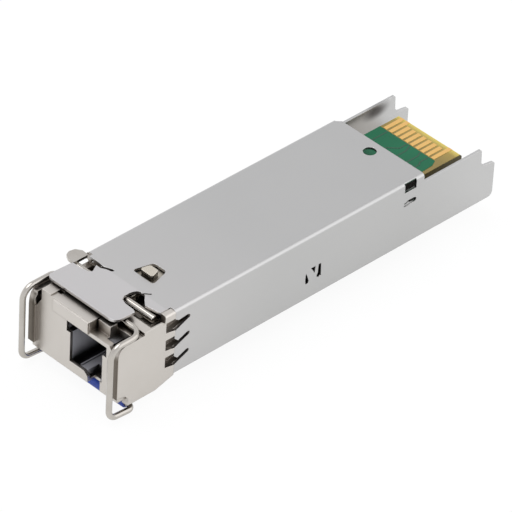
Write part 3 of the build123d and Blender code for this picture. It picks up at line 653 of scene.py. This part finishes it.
casting_steps = [
    # The belly side, level and with the steps beside the pin.
    ("UNION", made(block, ((-6.45, 6.45), (FACE, LEVEL_REAR), (-0.1, LAND)))),
    ("UNION", steps_up),
    ("UNION", ribs),
    # Corner pockets by the bail.
    ("DIFFERENCE", made(block, ((2.0, 5.9), (BEFORE, -8.9), (SILL, OVER)),
                        (FAR_POCKET, (BEFORE, -8.9), (SILL, OVER)))),
    ("DIFFERENCE", made(prism, (near_corner, 1, BEFORE, -9.6), (far_corner, 1, BEFORE, -9.6))),
    ("DIFFERENCE", made(block, ((5.0, 5.9), (-9.6, -7.9), (5.4, OVER)),
                        (FAR_POCKET, (-9.6, -7.9), (5.4, OVER)))),
    ("DIFFERENCE", made(block, ((3.95, 5.9), (-9.4, -7.9), (5.2, OVER)))),
    # Lip over the port, its raised front, and the bridge beside it.
    ("UNION", made(block, ((-3.9, 2.0), (FACE, -8.4), (LAND - 0.6, LIP_TOP)))),
    ("UNION", made(block, ((-5.25, -3.9), (FACE, -8.4), (LAND - 0.6, LIP_TOP + 0.15)))),
    ("UNION", made(prism, (lip_front, 0, -3.35, 1.95))),
    ("UNION", made(block, ((2.2, 3.95), (-9.0, -8.0), (SILL - 0.05, LIP_TOP)))),
    ("DIFFERENCE", made(block, ((-3.9, -3.4), (-9.1, -8.6), (7.25, OVER)),
                        ((2.0, 2.2), (BEFORE, -8.0), (SILL, OVER)))),
    # Room for the cover's lanced tabs, the lever and the pin.
    ("DIFFERENCE", channels),
    ("DIFFERENCE", made(block, ((-2.3, 2.3), (-7.6, LEVEL_REAR + 0.01), (SILL, OVER)))),
    ("DIFFERENCE", made(block, ((2.2, 6.5), (-5.7, -3.8), (PIN_LOW, OVER)))),
    ("DIFFERENCE", made(block, ((2.2, 4.1), (-5.5, -2.7), (SILL, OVER)),
                        ((5.65, 6.5), (-4.95, -3.8), (6.9, OVER)))),
    ("DIFFERENCE", made(block, ((-5.6, -3.9), (-3.95, -2.6), (6.2, OVER)))),
    ("UNION", made(block, ((-3.8, -2.9), (-5.0, -3.0), (LAND - 0.3, 7.5)))),
    ("DIFFERENCE", made(block, ((-8, -5.4), (-4.95, -2.55), (PIN_LOW, OVER)))),
    ("DIFFERENCE", made(rod, (PIN_R + 0.02, (-7.4, PIN_Y, PIN_Z), (5.67, PIN_Y, PIN_Z)))),
    # The port, its shoulders, the room for the guide, and the key slot under it.
    ("DIFFERENCE", made(block, (PORT_X, (BEFORE, -5), PORT_Z))),
    ("DIFFERENCE", made(block, (SHOULDER_X, (BEFORE, -5), (SHOULDER_Z, PORT_Z[1])))),
    ("DIFFERENCE", made(block, (INSERT_X, INSERT_Y, INSERT_Z))),
    ("DIFFERENCE", made(prism, (key_cut, 1, BEFORE, -9.0))),
    ("DIFFERENCE", window_room),
]
casting = soft_shaded(worked(copied("nose_casting"), casting_steps), 28)
dress("cast_nose", casting, plated_casting, "body", "nose_casting")

# %% [markdown]
# The lever's pin is a cut length of wire. Its near end is chamfered and sits in the ear, and its
# far end is beaten flat into a paddle, so that it cannot slip through. The lever's cradle is
# milled to the pin's place.

# %% Pin and the lever's cradle
FAR_END, NEAR_END = -6.35, 5.65
PIN_TOP = PIN_Z + PIN_R
paddle = [(FAR_END + 0.15, -4.82), (FAR_END + 0.15, -2.8), (FAR_END - 0.75, -2.72),
          (FAR_END - 1.45, -3.2), (FAR_END - 1.6, -3.9), (FAR_END - 1.35, -4.5), (FAR_END - 0.7, -4.82)]
pin = made(rod, (PIN_R, (FAR_END, PIN_Y, PIN_Z), (NEAR_END, PIN_Y, PIN_Z), 48))
rim = [e for e in pin.edges if all(v.co.x > (NEAR_END - 0.01) * MM for v in e.verts)]
bmesh.ops.bevel(pin, geom=rim, offset=0.12 * MM, segments=2, profile=0.5, affect="EDGES", material=-1)
pin_steps = [("UNION", made(prism, (paddle, 2, PIN_TOP - 0.1, PIN_TOP + 0.25, 0.12)))]
beaten = soft_shaded(worked(as_mesh(pin), pin_steps), 40)
dress("beaten_pin", beaten, drawn_wire, "body", "lever_pin")
cradle_steps = [
    ("UNION", made(block, ((-1.15, 1.6), (-4.2, -3.3), (6.9, 7.7)))),
    ("DIFFERENCE", made(rod, (PIN_R + 0.09, (-9, PIN_Y, PIN_Z), (9, PIN_Y, PIN_Z)))),
]
rocker = soft_shaded(worked(copied("latch_lever"), cradle_steps))
dress("rocker", rocker, stamped_lever, "lever", "latch_lever")

# %% [markdown]
# The bail is one round wire, bent over pins. A curve with round bends shows that best: each bend
# is one Bezier arc between two straight runs, and the curve's own round bevel gives the wire.

# %% Bail wire
WIRE_R = 0.34
PIVOT_Y, PIVOT_Z = -7.1, 7.6
LEG_X, LEG_Y = 6.68, -11.43
BAR_Y, BAR_Z = -7.95, -1.66
corners = [(3.4, PIVOT_Y, PIVOT_Z), (LEG_X, PIVOT_Y, PIVOT_Z), (LEG_X, LEG_Y, PIVOT_Z),
           (LEG_X, LEG_Y, -1.4), (LEG_X, BAR_Y, BAR_Z)]
corners += [(-x, y, z) for x, y, z in reversed(corners)]
bends = [1.5, 1.4, 1.1, 0.8, 0.8, 1.1, 1.4, 0.55]


def bent_wire(name, corners, bends, radius):
    """A round wire through corners, each one a bend of its own radius, in millimetres."""
    curve = bpy.data.curves.new(name, "CURVE")
    curve.dimensions = "3D"
    curve.bevel_depth = radius * MM
    curve.bevel_resolution = 5
    curve.resolution_u = 10
    curve.use_fill_caps = True
    spots = [(Vector(corners[0]), None, None)]
    for before, corner, after, bend in zip(corners, corners[1:], corners[2:], bends):
        come = (Vector(corner) - Vector(before)).normalized()
        leave = (Vector(after) - Vector(corner)).normalized()
        turn = come.angle(leave)
        reach = bend * tan(turn / 2)
        handle = 4 / 3 * tan(turn / 4) * bend
        spots.append((Vector(corner) - come * reach, None, come * handle))
        spots.append((Vector(corner) + leave * reach, -leave * handle, None))
    spots.append((Vector(corners[-1]), None, None))
    spline = curve.splines.new("BEZIER")
    spline.bezier_points.add(len(spots) - 1)
    for index, (spot, back, ahead) in enumerate(spots):
        point = spline.bezier_points[index]
        last, following = spots[max(index - 1, 0)][0], spots[min(index + 1, len(spots) - 1)][0]
        point.handle_left_type = point.handle_right_type = "FREE"
        point.co = spot * MM
        point.handle_left = (spot + (back or (last - spot) / 3)) * MM
        point.handle_right = (spot + (ahead or (following - spot) / 3)) * MM
    return curve


wire_curve = shown("wire", bent_wire("wire", corners, bends, WIRE_R))
wire = baked(wire_curve)
bpy.data.objects.remove(wire_curve)
dress("bent_bail", soft_shaded(wire, 50), drawn_wire, "bail", "bail_wire")

# %% [markdown]
# The grip is a tube of blue nylon on the crossbar, with round rims. A rod whose rims are bevelled
# and whose middle is bored out gives that with true round edges.

# %% Blue grip
grip = made(rod, (0.6, (-5.7, BAR_Y, BAR_Z), (5.7, BAR_Y, BAR_Z), 64))
rims = [e for e in grip.edges if abs(e.verts[0].co.x - e.verts[1].co.x) < 1e-7]
bmesh.ops.bevel(grip, geom=rims, offset=0.18 * MM, segments=4, profile=0.5, affect="EDGES", material=-1)
bore = made(rod, (WIRE_R, (-7, BAR_Y, BAR_Z), (7, BAR_Y, BAR_Z)))
tube = soft_shaded(worked(as_mesh(grip), [("DIFFERENCE", bore)]), 40)
dress("grip", tube, blue_moulding, "bail", "bail_sleeve")

# %% [markdown]
# The guide in the port is a moulded box with a wide groove and a ridge along its left wall, a slot
# in its floor for the plug's latch, and at its end the tube that takes the ferrule. It is cut out
# of one block that fills its room in the casting, so that no gap shows round it.

# %% Port guide
TUBE_X, TUBE_Z = 2.125, 3.675
LAP = 0.05
GUIDE_Y = (BEFORE, -1.0)
guide_x, guide_z = (PORT_X[0] + LAP, PORT_X[1] - LAP), (PORT_Z[0] + LAP, PORT_Z[1] - LAP)
ridge = [(0.45, 0.9), (0.45, 1.27), (0.53, 1.33), (0.62, 1.27), (0.68, 0.9)]
guide_steps = [
    ("DIFFERENCE", made(block, (guide_x, GUIDE_Y, guide_z))),
    ("DIFFERENCE", made(block, ((SHOULDER_X[0] + LAP, SHOULDER_X[1] - LAP), GUIDE_Y,
                                (SHOULDER_Z + LAP, guide_z[1])))),
    ("DIFFERENCE", made(block, ((guide_x[0], 0.5), GUIDE_Y, (guide_z[0] - 0.75, guide_z[0] + 0.1)))),
    ("UNION", made(prism, (ridge, 1, -9.7, -1.1))),
    ("DIFFERENCE", made(block, ((1.6, 3.5), (BEFORE, -8.2), (0, guide_z[0] + 0.1)))),
    ("UNION", made(rod, (1.45, (TUBE_X, -5.2, TUBE_Z), (TUBE_X, -0.7, TUBE_Z)))),
    ("DIFFERENCE", made(rod, (0.95, (TUBE_X, -4.9, TUBE_Z), (TUBE_X, 1.0, TUBE_Z)))),
    ("DIFFERENCE", made(rod, (0.775, (TUBE_X, -6, TUBE_Z), (TUBE_X, -4, TUBE_Z)))),
]
guide = worked(as_mesh(made(block, (INSERT_X, INSERT_Y, INSERT_Z))), guide_steps)
dress("port_guide", soft_shaded(guide), black_moulding, "body", "port_insert")

# %% [markdown]
# The contacts are plated pads of etched copper with round shoulders. Each is a block at the place
# of a measured contact, a little narrower than that, and all its edges are bevelled.

# %% Gilt contacts
def measured_blocks(name):
    """Lowest and highest corners of each separate block of a node."""
    source = bmesh.new()
    source.from_mesh(NODES[name].data)
    bmesh.ops.remove_doubles(source, verts=source.verts, dist=1e-7)
    met = set()
    boxes = []
    for start in source.verts:
        if start in met:
            continue
        met.add(start)
        group = [start]
        for here in group:
            for edge in here.link_edges:
                other = edge.other_vert(here)
                if other not in met:
                    met.add(other)
                    group.append(other)
        corners = [v.co for v in group]
        boxes.append((Vector(min(c[i] for c in corners) for i in range(3)),
                      Vector(max(c[i] for c in corners) for i in range(3))))
    source.free()
    return boxes


NARROWER = 0.045  # on each side of a contact
pads = bmesh.new()
for low, high in measured_blocks("edge_contacts"):
    low, high = low / MM, high / MM
    block(pads, (low.x + NARROWER, high.x - NARROWER), (low.y, high.y), (low.z, high.z))
bmesh.ops.bevel(pads, geom=pads.edges[:], offset=0.018 * MM, segments=2, profile=0.5, affect="EDGES",
                material=-1)
dress("gilt_pads", soft_shaded(as_mesh(pads), 50), gilding, "body", "edge_contacts")

# %% [markdown]
# Copper tracks under the lacquer show as faint raised lines that run forward from the contacts.
# Each is a thin strip, made from a cube that is scaled and moved. A bump map would look flat here,
# because the strips are seen at a low angle.

# %% Tracks under the lacquer
MASK_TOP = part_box("solder_mask")[1][2] / MM
TRACK_WIDTH, TRACK_Z = 0.16, (MASK_TOP - 0.01, MASK_TOP + 0.012)
RUNS = [
    [(0.4, 36.0), (0.4, 37.6), (0.0, 38.6)],
    [(1.9, 35.4), (1.9, 37.9), (1.6, 38.6)],
    [(-1.4, 35.0), (-1.4, 36.4), (-0.4, 37.4), (-0.4, 38.6)],
    [(3.1, 34.6), (3.1, 36.9), (2.8, 37.3), (2.8, 38.6)],
    [(-3.4, 33.0), (-3.4, 38.6)],
]


def strip(mesh, start, end):
    """A low bar on the board between two points, in millimetres."""
    a, b = Vector(start), Vector(end)
    run, middle = b - a, (a + b) / 2
    turn = Matrix.Rotation(run.to_2d().angle_signed(Vector((1, 0))), 4, "Z")
    shape = (Matrix.Translation((middle.x * MM, middle.y * MM, sum(TRACK_Z) / 2 * MM)) @ turn
             @ Matrix.Diagonal((run.length * MM, TRACK_WIDTH * MM, (TRACK_Z[1] - TRACK_Z[0]) * MM, 1)))
    bmesh.ops.create_cube(mesh, size=1.0, matrix=shape)


tracks = bmesh.new()
for run in RUNS:
    for start, end in zip(run[:-1], run[1:]):
        strip(tracks, start, end)
track_green = moulded("solder_mask_on_copper", "#12472F", "#0D3C29", rough=0.35, grain_mm=0.2,
                      relief_mm=0.0004, ior=1.52, edge_mm=0.01)
dress("mask_tracks", as_mesh(tracks), track_green, "body")

# %% [markdown]
# A chip capacitor or resistor is a small block with a tinned cap at each end. Each cap is a block
# just larger than the end that it covers, with round edges, as dipped metal has.

# %% Tinned ends of the passives
def end_caps(name, share, grow):
    """Caps on both ends of each block of a node, along its longer side."""
    mesh = bmesh.new()
    for low, high in measured_blocks(name):
        axis = 0 if high.x - low.x > high.y - low.y else 1
        length = (high - low)[axis] * share
        for end in (0, 1):
            a, b = low.copy(), high.copy()
            if end:
                a[axis] = high[axis] - length
                b[axis] += grow
            else:
                b[axis] = low[axis] + length
                a[axis] -= grow
            a[1 - axis] -= grow
            b[1 - axis] += grow
            b.z += grow
            middle = (a + b) / 2
            shape = Matrix.Translation(middle) @ Matrix.Diagonal((*(b - a), 1))
            bmesh.ops.create_cube(mesh, size=1.0, matrix=shape)
    bmesh.ops.bevel(mesh, geom=mesh.edges[:], offset=grow * 1.6, segments=2, profile=0.5,
                    affect="EDGES", material=-1)
    return mesh


CAP = 0.02 * MM
tinning = plated_metal("tinned_ends", "#C9C9C7", "#BBBBB9", rough=0.3, grain_mm=0.1, relief_mm=0.001,
                       edge_mm=0.03, cloud_mm=1.0)
dress("capacitor_ends", as_mesh(end_caps("capacitors", 0.24, CAP)), tinning, "body")
dress("resistor_ends", as_mesh(end_caps("resistors", 0.22, CAP)), tinning, "body")

# %% [markdown]
# The table is one white sheet. It shows as nearly pure white to the camera and still keeps a soft
# shadow under the part, because most of its look is a plain white glow and the rest is lit paper.

# %% Table
WHITE_SHARE = 0.93  # how much of the table's look is plain white to the camera
GLOSSY_SHARE = 0.75  # and, of that, to a reflection in the part


def white_table():
    """A pale floor that shows white, with a soft shadow kept on it."""
    material, tree = new_material("white_table")
    path = add(tree, "ShaderNodeLightPath")
    paper = add(tree, "ShaderNodeBsdfDiffuse", {"Color": linear("#F4F4F4")})
    glow = add(tree, "ShaderNodeEmission", {"Color": (1, 1, 1, 1), "Strength": 1.0})
    gloss = add(tree, "ShaderNodeMath", {1: GLOSSY_SHARE}, {0: path.outputs["Is Glossy Ray"]},
                operation="MULTIPLY")
    seen = add(tree, "ShaderNodeMath", links={0: path.outputs["Is Camera Ray"], 1: gloss.outputs[0]},
               operation="MAXIMUM")
    seen = add(tree, "ShaderNodeMath", links={0: seen.outputs[0], 1: path.outputs["Is Transmission Ray"]},
               operation="MAXIMUM")
    share = add(tree, "ShaderNodeMath", {1: WHITE_SHARE}, {0: seen.outputs[0]}, operation="MULTIPLY")
    mixed = add(tree, "ShaderNodeMixShader", links={0: share.outputs[0], 1: paper.outputs["BSDF"],
                                                    2: glow.outputs["Emission"]})
    add(tree, "ShaderNodeOutputMaterial", links={"Surface": mixed.outputs["Shader"]})
    return material


TABLE_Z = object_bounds()[0][2]
table = bmesh.new()
bmesh.ops.create_grid(table, x_segments=2, y_segments=2, size=2.0,
                      matrix=Matrix.Translation((0, 16.7 * MM, TABLE_Z)))
table_data = bpy.data.meshes.new("table")
table.to_mesh(table_data)
table.free()
table_data.materials.append(white_table())
shown("table", table_data)
print("table at z", round(TABLE_Z / MM, 3), "mm")

# %% [markdown]
# The light is a plain tent, bright and even, and a little stronger low down, so that the skirts
# come out lighter than the belly.

# %% Surround
def surround():
    """An even white tent, a little brighter low down, that the camera sees as white."""
    world = bpy.data.worlds.new("tent")
    world.use_nodes = True
    tree = world.node_tree
    tree.nodes.clear()
    path = add(tree, "ShaderNodeLightPath")
    place = add(tree, "ShaderNodeTexCoord").outputs["Generated"]
    parts = add(tree, "ShaderNodeSeparateXYZ", links={"Vector": place})
    height = add(tree, "ShaderNodeMapRange",
                 {"From Min": 0.0, "From Max": 0.9, "To Min": 1.1, "To Max": 0.87},
                 {"Value": parts.outputs["Z"]})
    tent = add(tree, "ShaderNodeBackground", {"Color": linear("#FDFDFF")},
               {"Strength": height.outputs["Result"]})
    seen = add(tree, "ShaderNodeBackground", {"Color": (1, 1, 1, 1), "Strength": 1.0})
    mixed = add(tree, "ShaderNodeMixShader", links={0: path.outputs["Is Camera Ray"],
                                                    1: tent.outputs["Background"],
                                                    2: seen.outputs["Background"]})
    add(tree, "ShaderNodeOutputWorld", links={"Surface": mixed.outputs["Shader"]})
    return world


bpy.context.scene.world = surround()
print("surround:", bpy.context.scene.world.name)

# %% [markdown]
# Two lamps stand in the tent: a broad one over the belly, and a larger one beyond the far right,
# which the rounded bend of the sheet picks up as a bright stripe.

# %% Lamps
def soft_lamp(name, place, target, size, power):
    """A square area lamp that looks at a target, all in millimetres."""
    data = bpy.data.lights.new(name, "AREA")
    data.shape = "SQUARE"
    data.size = size * MM
    data.energy = power
    lamp = bpy.data.objects.new(name, data)
    lamp.location = Vector(place) * MM
    aim = (Vector(target) - Vector(place)).to_track_quat("-Z", "Y")
    lamp.rotation_euler = aim.to_euler()
    bpy.context.scene.collection.objects.link(lamp)
    print(name, "size", size, "mm, power", power)


MIDDLE = (0, 17, 4)
soft_lamp("bend_lamp", (330, 330, 300), MIDDLE, 620, 0.74)
soft_lamp("top_lamp", (-120, -60, 460), MIDDLE, 320, 0.9)

# %% [markdown]
# The camera stands to the right of the nose and looks down at the part, from far away with a long
# lens, so that the parallel edges hardly draw together.

# %% Camera
RIGHT = Vector((0.6933318, 0.71920019, 0.04518958))
UP = Vector((-0.46187581, 0.39537693, 0.79394447))
BACK = RIGHT.cross(UP).normalized()
camera_data = bpy.data.cameras.new("camera")
camera_data.lens = 363.9
camera_data.sensor_width = 36.0
camera_data.clip_start = 0.01
camera_data.clip_end = 20.0
camera = bpy.data.objects.new("camera", camera_data)
turned = Matrix((RIGHT, UP, BACK)).transposed().to_4x4()
camera.matrix_world = Matrix.Translation(Vector((302.5717, -296.7533, 333.9276)) * MM) @ turned
bpy.context.scene.collection.objects.link(camera)
bpy.context.scene.camera = camera
bpy.context.scene.view_settings.view_transform = "Standard"
print("lens:", round(camera_data.lens, 1), "mm")
